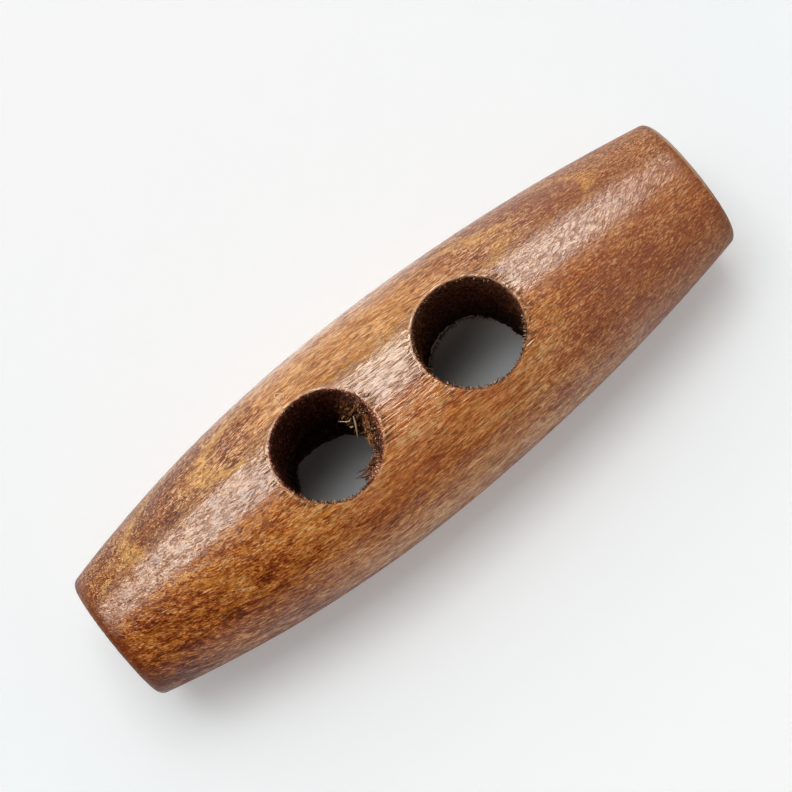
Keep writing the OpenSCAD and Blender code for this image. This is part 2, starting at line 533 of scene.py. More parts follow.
def wood(name):
    m = Nodes(name)
    co = m.new("ShaderNodeTexCoord").outputs["Object"]
    mm = m.vec("MULTIPLY", co, (1000, 1000, 1000))
    bore_, rim_, face_, tear_, brow_, bead_ = (m.attr(k) for k in TAGS)
    # slow wander of the grain
    warp = m.vec("SUBTRACT", m.noise(m.vec("MULTIPLY", mm, (0.10, 0.22, 0.22)), 1, 2, 0.5, colour=True), (0.5, 0.5, 0.5))
    sep = m.new("ShaderNodeSeparateXYZ")
    m.put(sep.inputs[0], mm)
    px, py, pz = sep.outputs
    # the grain runs straight along the bar, then swings down towards end A
    swing = m.math("MAXIMUM", m.math("SUBTRACT", -6.0, px), 0.0)
    swing = m.math("MULTIPLY", m.math("POWER", swing, 2.0), -0.014)
    bend = m.new("ShaderNodeCombineXYZ")
    m.put(bend.inputs[1], m.math("MULTIPLY", swing, 0.77))
    m.put(bend.inputs[2], m.math("MULTIPLY", swing, 0.64))
    grainp = m.vec("ADD", mm, m.vec("MULTIPLY", warp, (0.0, 0.9, 0.9)))
    grainp = m.vec("ADD", grainp, bend.outputs[0])

    def along(sx, sr, src=grainp, off=0.0):
        """Coordinates stretched along the grain: sx features per mm along it, sr across."""
        v = m.vec("MULTIPLY", src, (sx, sr, sr))
        return m.vec("ADD", v, (off, off * 0.37, off * 0.71)) if off else v

    c = lambda v: m.math("SUBTRACT", v, 0.5)

    def near(v, at, width):
        """1 where v is at the value, falling to 0 a width away."""
        return m.math("SUBTRACT", 1.0, m.span(m.math("ABSOLUTE", m.math("SUBTRACT", v, at)), 0.0, width))

    # growth rings
    pith = 46.0
    wy = m.vec("ADD", m.vec("MULTIPLY", mm, (0, 1, 1)), (0, pith * math.sin(RING_DIR), pith * math.cos(RING_DIR)))
    depth = m.math("SUBTRACT", m.vec("LENGTH", wy), pith)
    ringwarp = c(m.noise(m.vec("MULTIPLY", mm, (0.16, 0.30, 0.30)), 1, 2, 0.45))
    fine_warp = c(m.noise(m.vec("MULTIPLY", mm, (0.9, 1.3, 1.3)), 1, 3, 0.7))
    depth = m.math("ADD", depth, m.math("MULTIPLY", ringwarp, 0.10))
    # the rings lean a little along the bar
    depth = m.math("MULTIPLY_ADD", px, 0.00597, depth)
    depth = m.math("MULTIPLY_ADD", m.math("POWER", m.math("ABSOLUTE", px), 3.0), m.math("MULTIPLY", m.math("SIGN", px), -4.57e-5), depth)
    depth = m.math("MULTIPLY_ADD", fine_warp, 0.14, depth)
    turns = m.math("DIVIDE", m.math("SUBTRACT", depth, RING_PHASE), RING_GAP)
    fr = m.math("FRACT", m.math("ADD", turns, 20.0))
    # a golden line at the ring's edge, and a darker band that fades away from it
    line = m.span(m.math("ABSOLUTE", c(fr)), 0.33, 0.47, 0, 1)

    # where along the bar, and how far round it
    ends = m.span(m.math("ABSOLUTE", m.math("SUBTRACT", px, 0.4)), 4.5, 10.0, 0, 1)
    end_a = m.span(px, -6.0, -12.0, 0, 1)
    end_b = m.span(px, 3.0, 15.0, 0, 1)
    middle = m.math("SUBTRACT", 1.0, m.span(m.math("ABSOLUTE", m.math("SUBTRACT", px, 0.2)), 3.0, 8.5))
    round_ = m.vec("NORMALIZE", m.vec("MULTIPLY", mm, (0, 1, 1)))

    def facing(degrees, inner, outer_):
        """1 within inner degrees of the direction round the bar, 0 beyond outer_."""
        d = math.radians(degrees)
        dot = m.vec("DOT_PRODUCT", round_, (0, math.sin(d), math.cos(d)))
        return m.span(dot, math.cos(math.radians(outer_)), math.cos(math.radians(inner)), 0, 1)

    # tone of the stain: how much it soaked in, from broad clouds down to single fibres
    cloud = m.noise(along(0.22, 0.42, off=4.0), 1, 2, 0.5, 0.3)
    speck = m.noise(along(0.80, 1.7, off=9.0), 1, 2, 0.85, 0.25)
    fine = m.noise(along(3.0, 7.5, off=5.0), 1, 2, 0.95, 0.15)
    fleck = m.noise(along(0.95, 3.1, off=27.0), 1, 3, 0.8, 0.15)
    streak = m.noise(along(0.30, 4.2, off=13.0), 1, 3, 0.8)
    fibre = m.noise(along(1.9, 14.0, off=17.0), 1, 1, 0.9)
    grit = m.noise(along(7.0, 16.0, off=37.0), 1, 1, 0.9)
    tone = m.math("MULTIPLY", c(cloud), 0.95)
    tone = m.math("MULTIPLY_ADD", c(speck), m.math("MULTIPLY_ADD", end_a, 0.60, 0.58), tone)
    tone = m.math("MULTIPLY_ADD", c(fine), m.math("MULTIPLY_ADD", end_b, 0.60, m.math("MULTIPLY_ADD", ends, 0.35, 0.95)), tone)
    tone = m.math("MULTIPLY_ADD", c(fleck), m.math("MULTIPLY_ADD", end_a, 0.45, 0.50), tone)
    tone = m.math("MULTIPLY_ADD", c(streak), m.math("MULTIPLY_ADD", ends, -0.70, 1.05), tone)
    tone = m.math("MULTIPLY_ADD", c(streak), m.math("MULTIPLY", m.math("MULTIPLY", facing(-14, 8, 20), middle), 1.3), tone)
    upper = m.math("MULTIPLY", facing(42, 16, 30), m.math("MULTIPLY_ADD", ends, 0.85, 0.15))
    tone = m.math("MULTIPLY_ADD", c(fibre), m.math("MULTIPLY_ADD", end_b, 1.1, m.math("MULTIPLY_ADD", upper, 1.5, 1.5)), tone)
    tone = m.math("MULTIPLY_ADD", c(fibre), m.math("MULTIPLY", m.math("MULTIPLY", facing(40, 16, 30), middle), 1.1), tone)
    tone = m.math("MULTIPLY_ADD", c(grit), m.math("MULTIPLY_ADD", upper, 0.9, 0.55), tone)
    # painted light: the band just below the highlight is a touch lighter
    tone = m.math("MULTIPLY_ADD", facing(-17, 7, 22), 0.030, tone)
    # the wood just under each ring's line soaked up more, most of all where the ring is cut flat
    under_line = m.math("MULTIPLY", m.span(fr, 0.03, 0.20, 0, 1), m.span(fr, 0.92, 0.35, 0, 1))
    near_tip = facing(math.degrees(RING_DIR), 8, 32)
    near_blotch = facing(math.degrees(RING_DIR) + 6, 9, 24)
    this_ring = m.math("MULTIPLY", m.math("GREATER_THAN", turns, 0.0), m.math("LESS_THAN", turns, 1.0))
    soak = m.math("MULTIPLY", under_line, m.math("MULTIPLY", near_blotch, ends))
    soak = m.math("MULTIPLY", soak, m.math("MULTIPLY_ADD", this_ring, 0.80, 0.20))
    soak = m.math("MULTIPLY", soak, m.span(fine, 0.36, 0.58, 1.25, 0.55))
    tone = m.math("MULTIPLY_ADD", soak, m.math("MULTIPLY_ADD", end_a, -0.16, -0.08), tone)
    # the grain's contrast is raised on the upper flank, most towards end B and least between the holes, and flattened
    # under the highlight band. Painted light: the upper flank between the holes and towards end B is lighter. The
    # middle of the bar is a hair lighter all round.
    tone = m.math("MULTIPLY", tone, m.math("MULTIPLY_ADD", facing(44, 18, 30), 0.40, 1.0))
    tone = m.math("MULTIPLY", tone, m.math("MULTIPLY_ADD", m.math("MULTIPLY", facing(40, 14, 28), end_b), 0.40, 1.0))
    tone = m.math("MULTIPLY_ADD", m.math("MULTIPLY", facing(40, 14, 26), middle), 0.045, tone)
    tone = m.math("MULTIPLY", tone, m.math("MULTIPLY_ADD", m.math("MULTIPLY", facing(10, 9, 16), m.math("MULTIPLY_ADD", middle, 0.15, m.math("MULTIPLY_ADD", end_b, -0.35, 0.50))), -1.0, 1.0))
    tone = m.math("MULTIPLY", tone, m.math("MULTIPLY_ADD", m.math("MULTIPLY", facing(44, 20, 32), middle), -0.30, 1.0))
    tone = m.math("MULTIPLY_ADD", middle, 0.018, tone)
    tone = m.math("MULTIPLY_ADD", m.math("MULTIPLY", facing(40, 14, 28), end_b), 0.10, tone)
    tone = m.math("ADD", tone, 0.53)
    # the lower flank, away from the lamps, is darker at end A above all and at end B's tip: painted shade, on top of
    # end A's darker wood. Along the middle the lower flank is a hair lighter, and both ends are a shade darker all
    # round
    low = m.span(m.math("DIVIDE", py, BELLY_R), 0.25, -0.85, 0, 1)
    tone = m.math("MULTIPLY_ADD", m.math("MULTIPLY", low, end_a), -0.11, tone)
    tone = m.math("MULTIPLY_ADD", low, 0.02, tone)
    tone = m.math("MULTIPLY_ADD", m.math("MULTIPLY", low, m.span(px, -14.0, -18.5)), -0.24, tone)
    tone = m.math("MULTIPLY_ADD", ends, -0.05, tone)
    tone = m.math("MULTIPLY_ADD", m.math("MULTIPLY", low, m.span(px, 15.0, 19.5)), -0.09, tone)
    col = m.ramp(tone, [
        (0.00, rgb(92, 32, 8)),
        (0.25, rgb(152, 66, 20)),
        (0.50, rgb(211, 122, 52)),
        (0.75, rgb(246, 170, 92)),
        (1.00, rgb(254, 206, 144)),
    ])
    # amber shows through between the holes
    col = m.mix(m.math("MULTIPLY", m.math("MULTIPLY", facing(-22, 16, 32), middle), 0.34), col, rgba(202, 102, 34))
    col = m.mix(m.math("MULTIPLY", m.math("MULTIPLY", facing(38, 12, 28), middle), 0.34), col, rgba(240, 170, 78))
    # patches where it turned redder, and patches that stayed amber
    hue = m.noise(along(0.42, 1.15, off=91.0), 1, 3, 0.75, 0.4)
    col = m.mix(m.span(hue, 0.52, 0.66, 0, 0.42), col, rgba(166, 84, 44))
    col = m.mix(m.span(hue, 0.48, 0.35, 0, 0.38), col, rgba(232, 146, 50))
    # purple-brown where the stain lies deepest
    col = m.mix(m.math("MULTIPLY", soak, 0.42), col, rgba(136, 84, 68))
    # golden line of each ring, broken where the grain crosses it
    gold = m.math("MULTIPLY", line, m.math("MULTIPLY_ADD", near_tip, 0.95, 0.02))
    gold = m.math("MULTIPLY", gold, m.span(m.noise(along(0.9, 3.0, off=51.0), 1, 2, 0.7), 0.40, 0.56, 0.25, 1.0))
    gold = m.math("MULTIPLY", gold, m.math("SUBTRACT", 1.0, facing(9, 7, 14)))
    gold = m.math("MULTIPLY", gold, m.math("GREATER_THAN", turns, -0.5))
    col = m.mix(m.math("MULTIPLY", gold, m.math("MULTIPLY_ADD", end_a, -0.12, 1.0)), col, rgba(255, 190, 104))
    # painted shade: the top of the bar, under the highlight band, is painted evenly a shade deeper and duller
    crown_painted_shade = facing(12, 5, 20)
    col = m.mix(m.math("MULTIPLY", crown_painted_shade, m.math("MULTIPLY_ADD", middle, 0.08, 0.30)), col, rgba(88, 72, 36))
    # dark flecks: rays and pores, short dashes along the grain
    dash = m.span(m.noise(along(1.4, 8.0, off=23.0), 1, 1, 0.5), 0.575, 0.69, 0, 1)
    pore = m.span(m.noise(along(2.1, 15.0, off=29.0), 1, 1, 0.5), 0.57, 0.69, 0, 1)
    # ticks: hair-thin cracks in the film over the open grain; on end B they slant across
    slant = m.new("ShaderNodeCombineXYZ")
    m.put(slant.inputs[1], m.math("MULTIPLY", m.math("MAXIMUM", m.math("SUBTRACT", px, 7.0), 0.0), -0.55))
    tickp = m.vec("ADD", grainp, slant.outputs[0])
    tick1 = near(m.noise(along(0.48, 6.0, tickp, 61.0), 1, 1, 0.6), 0.5, 0.065)
    tick1 = m.math("MULTIPLY", tick1, m.span(m.math("MULTIPLY_ADD", end_b, 0.07, m.noise(along(1.1, 2.6, off=67.0), 1, 1, 0.6)), 0.44, 0.56))
    tick2 = near(m.noise(along(1.1, 10.0, tickp, 73.0), 1, 1, 0.6), 0.5, 0.11)
    tick2 = m.math("MULTIPLY", tick2, m.span(m.math("MULTIPLY_ADD", end_b, 0.06, m.noise(along(1.6, 4.0, off=79.0), 1, 1, 0.6)), 0.47, 0.60))
    tick = m.math("MAXIMUM", tick1, m.math("MULTIPLY", tick2, 0.85))
    crack = near(m.noise(along(0.42, 5.5, off=97.0), 1, 2, 0.6), 0.5, 0.060)
    tip_a = m.span(px, -8.0, -14.0)
    crack = m.math("MULTIPLY", crack, m.span(m.math("MULTIPLY_ADD", tip_a, 0.05, m.noise(along(0.8, 2.2, off=103.0), 1, 1, 0.6)), 0.50, 0.60))
    crack = m.math("MULTIPLY", crack, m.math("MULTIPLY_ADD", tip_a, 0.55, m.math("MULTIPLY_ADD", middle, 0.55, 0.45)))
    # long hair-thin cracks crowd together under end A's highlight
    hairline = near(m.noise(along(0.36, 8.0, tickp, 131.0), 1, 1, 0.6), 0.5, 0.060)
    hairline = m.math("MULTIPLY", hairline, m.span(m.noise(along(0.7, 1.9, off=137.0), 1, 1, 0.6), 0.44, 0.56))
    crack = m.math("MAXIMUM", crack, m.math("MULTIPLY", hairline, m.math("MULTIPLY", m.math("MULTIPLY", tip_a, facing(14, 18, 30)), 0.28)))
    col = m.mix(m.math("MULTIPLY", crack, 0.55), col, rgba(104, 50, 24))
    col = m.mix(m.math("MULTIPLY", dash, m.math("MULTIPLY_ADD", upper, 0.20, 0.30)), col, rgba(130, 58, 22))
    col = m.mix(m.math("MULTIPLY", pore, m.math("MULTIPLY_ADD", upper, 0.20, 0.45)), col, rgba(100, 44, 16))
    col = m.mix(m.math("MULTIPLY", tick, m.math("MULTIPLY_ADD", end_b, 0.28, m.math("MULTIPLY_ADD", upper, 0.20, 0.45)), clamp=True), col, rgba(96, 46, 22))
    # painted highlight: a pale line along each lacquer bead, over the bead's own relief
    col = m.mix(m.math("MULTIPLY", bead_, 0.46), col, rgba(236, 192, 150))
    # painted glints: pale ticks along the grain just below the highlight band, most of all towards the ends
    painted_glint = m.span(m.noise(along(1.7, 11.0, off=109.0), 1, 1, 0.5), 0.655, 0.73)
    painted_glint = m.math("MULTIPLY", painted_glint, m.math("MULTIPLY", facing(-11, 7, 20), m.math("MULTIPLY_ADD", ends, 0.7, 0.3)))
    col = m.mix(m.math("MULTIPLY", painted_glint, 0.62), col, rgba(255, 218, 172))
    # end B is redder and duller
    col = m.mix(m.math("MULTIPLY", end_b, 0.38), col, rgba(186, 114, 84))
    # the eased end edges took more stain
    edge = m.span(m.math("ABSOLUTE", px), 18.9, 19.75, 0, 1)
    col = m.mix(m.math("MULTIPLY", edge, m.span(px, -1.0, 1.0, 0.72, 0.40)), col, rgba(118, 50, 24))
    # end grain soaks up the most
    facec = m.mix(m.math("MULTIPLY", line, m.span(m.noise(m.vec("MULTIPLY", mm, (0.3, 1.3, 1.3)), 1, 2, 0.6), 0.35, 0.62, 0.12, 0.50)), rgba(112, 60, 34), rgba(168, 104, 54))
    facec = m.mix(m.span(m.noise(m.vec("MULTIPLY", mm, (1, 9, 9)), 1, 2, 0.7), 0.46, 0.64, 0, 0.55), facec, rgba(66, 30, 16))
    col = m.mix(m.math("MULTIPLY", face_, 0.75), col, facec)
    # painted reflection: a pale line along the top of end B's eased rim, where it catches the light
    rim_painted_reflection = m.math("MULTIPLY", m.span(px, 19.72, 19.86), m.math("SUBTRACT", 1.0, m.span(face_, 0.55, 0.90)))
    rim_painted_reflection = m.math("MULTIPLY", rim_painted_reflection, facing(15, 25, 60))
    col = m.mix(m.math("MULTIPLY", rim_painted_reflection, 0.42), col, rgba(232, 206, 180))
    # drilled walls: nearly black-brown, with torn fibres catching light
    torn = m.noise(m.vec("MULTIPLY", mm, (6, 6, 2.2)), 1, 3, 0.8)
    wallc = m.ramp(torn, [(0.36, rgb(36, 17, 10)), (0.52, rgb(70, 37, 24)), (0.63, rgb(118, 72, 48)), (0.76, rgb(190, 134, 96))])
    crumbs = m.noise(m.vec("MULTIPLY", mm, (11, 11, 11)), 1, 2, 0.8)
    browc = m.ramp(crumbs, [(0.34, rgb(40, 16, 10)), (0.50, rgb(96, 46, 30)), (0.60, rgb(150, 88, 64)), (0.68, rgb(232, 206, 190))])
    wallc = m.mix(m.math("MULTIPLY", brow_, 0.8), wallc, browc)
    # hole B's wall is paler
    wallc = m.mix(m.span(px, 0.0, 1.0, 0.0, 0.55), wallc, m.mix(m.span(torn, 0.40, 0.62), rgba(104, 58, 38), rgba(196, 132, 94)))
    # painted shade: each wall grows darker down towards the exit underneath; hole A's wall is lightened in its upper
    # part
    wallc = m.mix(1.0, wallc, m.span(pz, -4.8, 1.8, m.span(px, 0.0, 1.0, 0.42, 0.18), m.span(px, 0.0, 1.0, 2.6, 1.0)), "MULTIPLY")
    col = m.mix(m.span(bore_, 0.08, 0.60), col, wallc)
    tearc = m.ramp(torn, [(0.38, rgb(36, 14, 7)), (0.52, rgb(108, 54, 22)), (0.68, rgb(222, 140, 62))])
    tearc = m.mix(m.span(m.noise(m.vec("MULTIPLY", mm, (1.5, 1.5, 1.5)), 1, 1, 0.5), 0.43, 0.60, 0.92, 0.0), tearc, rgba(38, 16, 9))
    tearc = m.mix(m.span(crumbs, 0.57, 0.70, 0, 0.8), tearc, rgba(246, 204, 156))
    col = m.mix(m.span(tear_, 0.1, 0.5), col, tearc)

    # relief under the lacquer: fine ridges along the grain, sunk ticks and pores
    ridge = m.noise(along(0.50, 8.0, off=31.0), 1, 1, 0.7)
    waves = m.noise(m.vec("MULTIPLY", mm, (0.7, 1.4, 1.4)), 1, 2, 0.5)
    height = m.math("MULTIPLY", ridge, 6.0)
    height = m.math("MULTIPLY_ADD", dash, -1.6, height)
    height = m.math("MULTIPLY_ADD", waves, 2.0, height)
    height = m.math("MULTIPLY_ADD", crack, -5.0, height)
    height = m.math("MULTIPLY_ADD", pore, -2.5, height)
    height = m.math("MULTIPLY_ADD", tick, -3.0, height)
    # between the holes the grain stands up in long ridges
    raised = m.noise(along(0.45, 6.5, off=83.0), 1, 2, 0.75)
    height = m.math("MULTIPLY_ADD", m.math("MULTIPLY", raised, m.math("MULTIPLY", middle, facing(-17, 9, 20))), 76.0, height)
    rough_h = m.noise(m.vec("MULTIPLY", mm, (7, 7, 7)), 1, 3, 0.65)
    height = m.math("MULTIPLY_ADD", m.math("MULTIPLY", bore_, rough_h), 60.0, height)
    height = m.math("MULTIPLY_ADD", m.math("MULTIPLY", face_, rough_h), 10.0, height)
    bump = m.new("ShaderNodeBump")
    bump.inputs["Strength"].default_value = 1.0
    bump.inputs["Distance"].default_value = 1e-6
    m.put(bump.inputs["Height"], height)

    bsdf = m.new("ShaderNodeBsdfPrincipled")
    m.put(bsdf.inputs["Base Color"], col)
    rough = m.math("MULTIPLY_ADD", m.noise(along(0.8, 3.0, off=41.0), 1, 2, 0.5), 0.18, 0.36)
    rough = m.math("MULTIPLY_ADD", m.span(bore_, 0.2, 0.8), 0.45, rough, clamp=True)
    m.put(bsdf.inputs["Roughness"], rough)
    m.put(bsdf.inputs["Specular IOR Level"], 0.04)
    # the lacquer lies even, but sinks away at ticks and pores and over the raw middle
    film = m.span(m.noise(along(1.1, 9.0, off=43.0), 1, 2, 0.9), 0.36, 0.60, m.math("MULTIPLY_ADD", ends, -0.14, 0.88), 1.0)
    film = m.math("MULTIPLY", film, m.math("MULTIPLY_ADD", tick, -0.80, 1.0))
    film = m.math("MULTIPLY", film, m.math("MULTIPLY_ADD", pore, -0.60, 1.0))
    film = m.math("MULTIPLY", film, m.math("MULTIPLY_ADD", dash, -0.25, 1.0))
    raw = m.span(m.noise(along(0.60, 10.0, off=47.0), 1, 2, 0.8), 0.50, 0.40, 0, 1)
    film = m.math("MULTIPLY", film, m.math("MULTIPLY_ADD", m.math("MULTIPLY", raw, middle), -0.16, 1.0))
    film = m.math("MULTIPLY", film, m.math("MULTIPLY_ADD", crack, -0.85, 1.0))
    coat = m.math("SUBTRACT", 1.0, m.span(bore_, 0.15, 0.6))
    coat = m.math("MULTIPLY", coat, m.math("SUBTRACT", 1.0, m.math("MULTIPLY", face_, 0.25)))
    coat = m.math("MULTIPLY", coat, film)
    # thinner towards end B
    coat = m.math("MULTIPLY", coat, m.span(px, 12.0, 19.7, 1.0, 0.42))
    coat = m.math("MULTIPLY", coat, m.span(px, -14.5, -19.2, 1.0, 0.76))
    m.put(bsdf.inputs["Coat Weight"], coat)
    m.put(bsdf.inputs["Coat Roughness"], 0.058)
    m.put(bsdf.inputs["Coat IOR"], m.math("MULTIPLY_ADD", m.math("MULTIPLY", middle, facing(14, 9, 24)), 0.042, 1.5))
    m.nt.links.new(bump.outputs[0], bsdf.inputs["Normal"])
    m.nt.links.new(bump.outputs[0], bsdf.inputs["Coat Normal"])
    out = m.new("ShaderNodeOutputMaterial")
    m.nt.links.new(bsdf.outputs[0], out.inputs["Surface"])
    return m.mat


wood_mat = wood("stained_lacquered_wood")
body.data.materials.append(wood_mat)


# ---------------------------------------------------------------- torn fibres left by the drill
class Slivers:
    """Tapered splinters, each swept along a short path, collected as one mesh."""

    def __init__(self):
        self.p, self.q, self.pale = [], [], []
        self.n = 0

    def add(self, path, r, pale, flat=0.55, blunt=0.12):
        path = np.asarray(path, float)
        k = len(path)
        t = np.gradient(path, axis=0)
        t /= np.maximum(np.linalg.norm(t, axis=1), 1e-9)[:, None]
        a = np.cross(t, [0.31, 0.22, 0.92])
        a /= np.maximum(np.linalg.norm(a, axis=1), 1e-9)[:, None]
        b = np.cross(t, a)
        u = np.linspace(0, 1, k)
        w = np.interp(u, (0, 0.2, 0.7, 1), (0.55, 1, 0.7, blunt)) * r
        ang = np.arange(5) * (2 * math.pi / 5)
        pts = (path[:, None] + w[:, None, None] * (a[:, None] * np.cos(ang)[None, :, None]
                                                   + flat * b[:, None] * np.sin(ang)[None, :, None]))
        i, j = np.meshgrid(np.arange(k - 1), np.arange(5), indexing="ij")
        i, j = i.ravel(), j.ravel()
        n = (j + 1) % 5
        self.q.append(np.stack([i * 5 + j, i * 5 + n, (i + 1) * 5 + n, (i + 1) * 5 + j], 1) + self.n)
        self.p.append(pts.reshape(-1, 3))
        self.pale.append(np.full(k * 5, pale))
        self.n += k * 5

    def mesh(self, name):
        return to_mesh(name, np.concatenate(self.p), np.concatenate(self.q), None, {"pale": np.concatenate(self.pale)})


rng = np.random.RandomState(626)


def wander(start, heading, length, curl, steps=6):
    """A path that sets out along heading and curls as it goes."""
    p = [np.asarray(start, float)]
    d = np.asarray(heading, float)
    d = d / np.linalg.norm(d)
    turn_ = rng.normal(size=3) * curl
    for _ in range(steps):
        d = d + turn_ + rng.normal(size=3) * curl * 0.45
        d /= np.linalg.norm(d)
        p.append(p[-1] + d * length / steps)
    return p


def lip_z(hx, th, side=1):
    y_ = BORE_R * math.sin(th)
    return side * (math.sqrt(float(radius(hx + BORE_R * math.cos(th))) ** 2 - y_ * y_) - 0.10)


torn = Slivers()
hx = HOLES[0]
TORN_TH = (-88, -80, -70, -60, -45, -30, -18, 0, 15, 32, 40)
TORN_IN = (0.0, 0.12, 0.60, 0.62, 0.46, 0.60, 0.78, 0.60, 0.42, 0.16, 0)
# the mat of torn grain on hole A's +X side
for _ in range(900):
    th_d = rng.uniform(-86, 36)
    th = math.radians(th_d)
    deep = float(np.interp(th_d, TORN_TH, TORN_IN))
    zt = lip_z(hx, th) - 0.12 - abs(rng.normal()) * 0.9
    rr_ = BORE_R - deep * rng.uniform(0.35, 1.0) * (1.0 if zt > 2 else 0.5)
    start = (hx + rr_ * math.cos(th), rr_ * math.sin(th), zt)
    inw = np.array([-math.cos(th), -math.sin(th), 0.0])
    heading = inw * rng.uniform(-0.2, 0.9) + rng.normal(size=3) * (0.9, 0.7, 0.5) + np.array([0, 0, -0.15])
    torn.add(wander(start, heading, rng.uniform(0.10, 0.38), 0.22), rng.uniform(0.012, 0.030),
             float(np.clip(rng.normal(0.13, 0.14) + (0.10 if th_d < 0 else 0), 0.0, 1)))
# a darker clump below it, standing further out
for _ in range(420):
    th = math.radians(rng.uniform(0, 50))
    zt = rng.normal(2.3, 0.8)
    rr_ = BORE_R - rng.uniform(0.25, 1.05) * math.sin(math.pi * min(max((math.degrees(th) + 6) / 58, 0), 1)) ** 0.6
    start = (hx + rr_ * math.cos(th), rr_ * math.sin(th), zt)
    heading = np.array([-math.cos(th), -math.sin(th), 0.2]) * rng.uniform(-0.3, 0.8) + rng.normal(size=3) * (0.6, 0.8, 0.5)
    torn.add(wander(start, heading, rng.uniform(0.15, 0.50), 0.20), rng.uniform(0.014, 0.038),
             float(np.clip(rng.normal(0.26, 0.20), 0.05, 1)))
# crumbs that catch the light
for _ in range(260):
    th_d = rng.uniform(-84, 20)
    th = math.radians(th_d)
    deep = float(np.interp(th_d, TORN_TH, TORN_IN))
    rr_ = BORE_R - deep * rng.uniform(0.3, 1.02)
    zt = lip_z(hx, th) - 0.02 - abs(rng.normal()) * 0.35
    torn.add(wander((hx + rr_ * math.cos(th), rr_ * math.sin(th), zt), rng.normal(size=3), rng.uniform(0.04, 0.09), 0.3, 3),
             rng.uniform(0.018, 0.034), float(np.clip(rng.normal(0.72, 0.20), 0.3, 1)), 0.8, 0.5)
# long golden flakes higher up
for _ in range(48):
    th_d = rng.uniform(-30, 34)
    th = math.radians(th_d)
    deep = float(np.interp(th_d, TORN_TH, TORN_IN))
    rr_ = BORE_R - deep * rng.uniform(0.5, 1.0)
    start = (hx + rr_ * math.cos(th), rr_ * math.sin(th), lip_z(hx, th) - rng.uniform(0.2, 0.8))
    heading = np.array([math.sin(th) * 0.9 - 0.35 * math.cos(th), -0.9 * math.cos(th), -0.25]) + rng.normal(size=3) * 0.30
    torn.add(wander(start, heading, rng.uniform(0.4, 0.95), 0.10, 8), rng.uniform(0.025, 0.055),
             float(np.clip(rng.normal(0.44, 0.16), 0.15, 0.8)), 0.3)
# single strands that stand out into the hole
for pts_, r_, pale in (
        (((2.12, 0.62, 4.2), (1.99, 0.32, 4.05), (1.85, 0.10, 3.8), (1.70, -0.12, 3.5), (1.58, -0.27, 3.2)), 0.060, 0.92),
        (((1.95, 0.62, 4.2), (1.78, 0.58, 4.1), (1.64, 0.66, 4.05), (1.46, 0.84, 4.0), (1.31, 0.98, 4.0)), 0.034, 0.98),
        (((1.80, 0.22, 4.1), (1.68, 0.26, 4.0), (1.60, 0.38, 3.95)), 0.045, 1.0),
        (((2.25, -0.60, 4.6), (2.02, -0.66, 4.5), (1.90, -0.78, 4.4)), 0.030, 0.8),
        (((1.50, -2.42, 5.1), (1.05, -2.45, 5.1), (0.62, -2.40, 5.05), (0.12, -2.24, 5.0)), 0.19, 0.09),
        (((1.40, -2.10, 5.0), (0.95, -2.22, 5.0), (0.50, -2.30, 5.0)), 0.14, 0.13),
        (((1.25, -2.62, 5.2), (0.80, -2.52, 5.15), (0.36, -2.34, 5.1)), 0.06, 0.34),
        (((1.00, -2.20, 5.0), (0.55, -2.06, 4.95), (0.26, -1.99, 4.9)), 0.05, 0.14)):
    torn.add(np.array(pts_) + [hx, 0, 0], r_, pale, 0.6)

# burrs round every lip, tight and mostly dark, with a few pale ones
for h, hx in enumerate(HOLES):
    for side in (1, -1):
        for _ in range(900 if side > 0 else 620):
            th = rng.uniform(-math.pi, math.pi)
            inw = np.array([-math.cos(th), -math.sin(th), 0.0])
            zt = lip_z(hx, th, side) - side * abs(rng.normal()) * 0.24
            heading = inw * rng.uniform(0.1, 1.0) + np.array([0, 0, side * rng.uniform(-0.4, 0.6)]) + rng.normal(size=3) * (0.8, 0.35, 0.25)
            if side < 0:
                heading += inw * 0.8
            pale = rng.uniform(0.65, 1.0) if rng.rand() < 0.10 + 0.22 * max(-math.sin(th) - 0.3, 0) else rng.uniform(0.02, 0.34)
            start = (hx + (BORE_R + 0.01) * math.cos(th), (BORE_R + 0.01) * math.sin(th), zt)
            if side < 0:
                pale *= 0.35
            torn.add(wander(start, heading, rng.uniform(0.07, 0.20 if side > 0 else 0.34), 0.25, 4), rng.uniform(0.012, 0.026), pale, 0.8, 0.3)
    # a rougher fringe on the -Y side of the lip
    for _ in range(260):
        th = math.radians(rng.uniform(-158, -22))
        inw = np.array([-math.cos(th), -math.sin(th), 0.0])
        start = (hx + (BORE_R + 0.02) * math.cos(th), (BORE_R + 0.02) * math.sin(th), lip_z(hx, th) + rng.uniform(-0.06, 0.05))
        heading = inw * rng.uniform(0.4, 1.2) + np.array([0, 0, rng.uniform(-0.2, 0.7)]) + rng.normal(size=3) * (0.8, 0.3, 0.3)
        pale = rng.uniform(0.75, 1.0) if rng.rand() < 0.24 else rng.uniform(0.02, 0.36)
        torn.add(wander(start, heading, rng.uniform(0.08, 0.24), 0.25, 4), rng.uniform(0.014, 0.030), pale, 0.8, 0.3)
    # splinters that lie along the wall
    for _ in range(420 if h else 170):
        th = rng.uniform(-math.pi, math.pi)
        zt = lip_z(hx, th) - rng.uniform(0.1, 1.0) ** 1.4 * 5.5
        rr_ = BORE_R - rng.uniform(0.0, 0.05)
        heading = np.array([-math.sin(th), math.cos(th), 0]) * rng.normal() * 0.5 + np.array([0, 0, 1.0]) * rng.choice([-1, 1]) + np.array([-math.cos(th), -math.sin(th), 0]) * 0.16
        torn.add(wander((hx + rr_ * math.cos(th), rr_ * math.sin(th), zt), heading, rng.uniform(0.2, 0.7), 0.08), rng.uniform(0.012, 0.028),
                 float(np.clip(rng.normal(0.40 if h else 0.14, 0.18), 0, 1)), 0.6)
